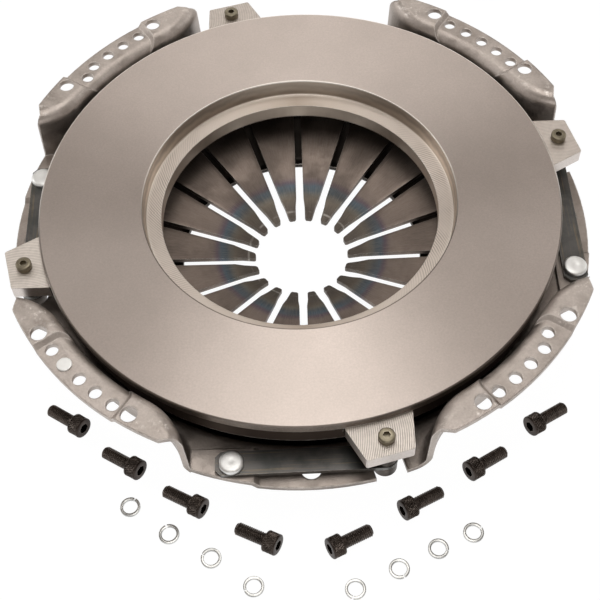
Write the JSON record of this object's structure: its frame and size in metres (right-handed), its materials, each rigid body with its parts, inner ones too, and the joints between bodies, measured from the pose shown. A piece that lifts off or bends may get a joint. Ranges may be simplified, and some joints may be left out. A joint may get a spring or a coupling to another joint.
{
  "type": "clutch pressure plate",
  "caption": "Diaphragm clutch pressure plate: pressed cover with bolt flanges, sliding iron pressure ring on drive straps, slotted diaphragm spring, loose fixing bolts and lock washers.",
  "frame": {"origin": "centre of the cover's bolt circle, on the flat tops of the eight bolt pads", "axes": "+Z along the clutch axis towards the flywheel; the cover's four gaps are centred on the X and Y axes"},
  "size_m": [0.3728, 0.4274, 0.0715],
  "materials": {
    "cover_steel": "satin bare pressed steel with scuffed bend lines",
    "machined_iron": "fine turned and ground grey iron",
    "heat_tinted_spring_steel": "dark spring steel with a straw to blue heat band",
    "tinted_strap_steel": "dark heat-tinted spring steel",
    "wire_steel": "drawn steel wire",
    "rivet_steel": "plain headed steel",
    "zinc_plated_rivet": "bright zinc plating",
    "olive_screw": "olive brown plated steel",
    "dark_collar": "dark oiled steel",
    "black_bolt": "oiled black oxide",
    "bright_washer": "bright zinc plating"
  },
  "bodies": {
    "cover_assembly": {"balance_rivet": "zinc_plated_rivet", "cover": "cover_steel", "diaphragm_spring": "heat_tinted_spring_steel", "fixing_bolt_1": "black_bolt", "fixing_bolt_2": "black_bolt", "fixing_bolt_3": "black_bolt", "fixing_bolt_4": "black_bolt", "fixing_bolt_5": "black_bolt", "fixing_bolt_6": "black_bolt", "fixing_bolt_7": "black_bolt", "fixing_bolt_8": "black_bolt", "lock_washer_1": "bright_washer", "lock_washer_2": "bright_washer", "lock_washer_3": "bright_washer", "lock_washer_4": "bright_washer", "lock_washer_5": "bright_washer", "lock_washer_6": "bright_washer", "lock_washer_7": "bright_washer", "lock_washer_8": "bright_washer", "pivot_ring_lower": "wire_steel", "pivot_ring_upper": "wire_steel", "pivot_rivets": "rivet_steel", "strap_1_lower_leaf": "tinted_strap_steel", "strap_1_middle_leaf": "tinted_strap_steel", "strap_1_upper_leaf": "tinted_strap_steel", "strap_2_lower_leaf": "tinted_strap_steel", "strap_2_middle_leaf": "tinted_strap_steel", "strap_2_upper_leaf": "tinted_strap_steel", "strap_3_lower_leaf": "tinted_strap_steel", "strap_3_middle_leaf": "tinted_strap_steel", "strap_3_upper_leaf": "tinted_strap_steel", "strap_4_lower_leaf": "tinted_strap_steel", "strap_4_middle_leaf": "tinted_strap_steel", "strap_4_upper_leaf": "tinted_strap_steel", "strap_rivet_1": "zinc_plated_rivet", "strap_rivet_2": "zinc_plated_rivet", "strap_rivet_3": "zinc_plated_rivet", "strap_rivet_4": "zinc_plated_rivet"},
    "pressure_ring_assembly": {"lug_nut_1": "dark_collar", "lug_nut_2": "dark_collar", "lug_nut_3": "dark_collar", "lug_nut_4": "dark_collar", "lug_screw_1": "olive_screw", "lug_screw_2": "olive_screw", "lug_screw_3": "olive_screw", "lug_screw_4": "olive_screw", "lug_spacer_1": "dark_collar", "lug_spacer_2": "dark_collar", "lug_spacer_3": "dark_collar", "lug_spacer_4": "dark_collar", "pressure_ring": "machined_iron"}
  },
  "joints": [
    {"name": "pressure_ring_travel", "type": "slide", "parent": "cover_assembly", "child": "pressure_ring_assembly", "axis": [0, 0, 1], "range_m": [-0.0055, 0], "stiffness_N_per_m": 40000, "springref_m": 0.005, "deforming": ["diaphragm_spring", "strap_1_lower_leaf", "strap_1_middle_leaf", "strap_1_upper_leaf", "strap_2_lower_leaf", "strap_2_middle_leaf", "strap_2_upper_leaf", "strap_3_lower_leaf", "strap_3_middle_leaf", "strap_3_upper_leaf", "strap_4_lower_leaf", "strap_4_middle_leaf", "strap_4_upper_leaf"]}
  ]
}
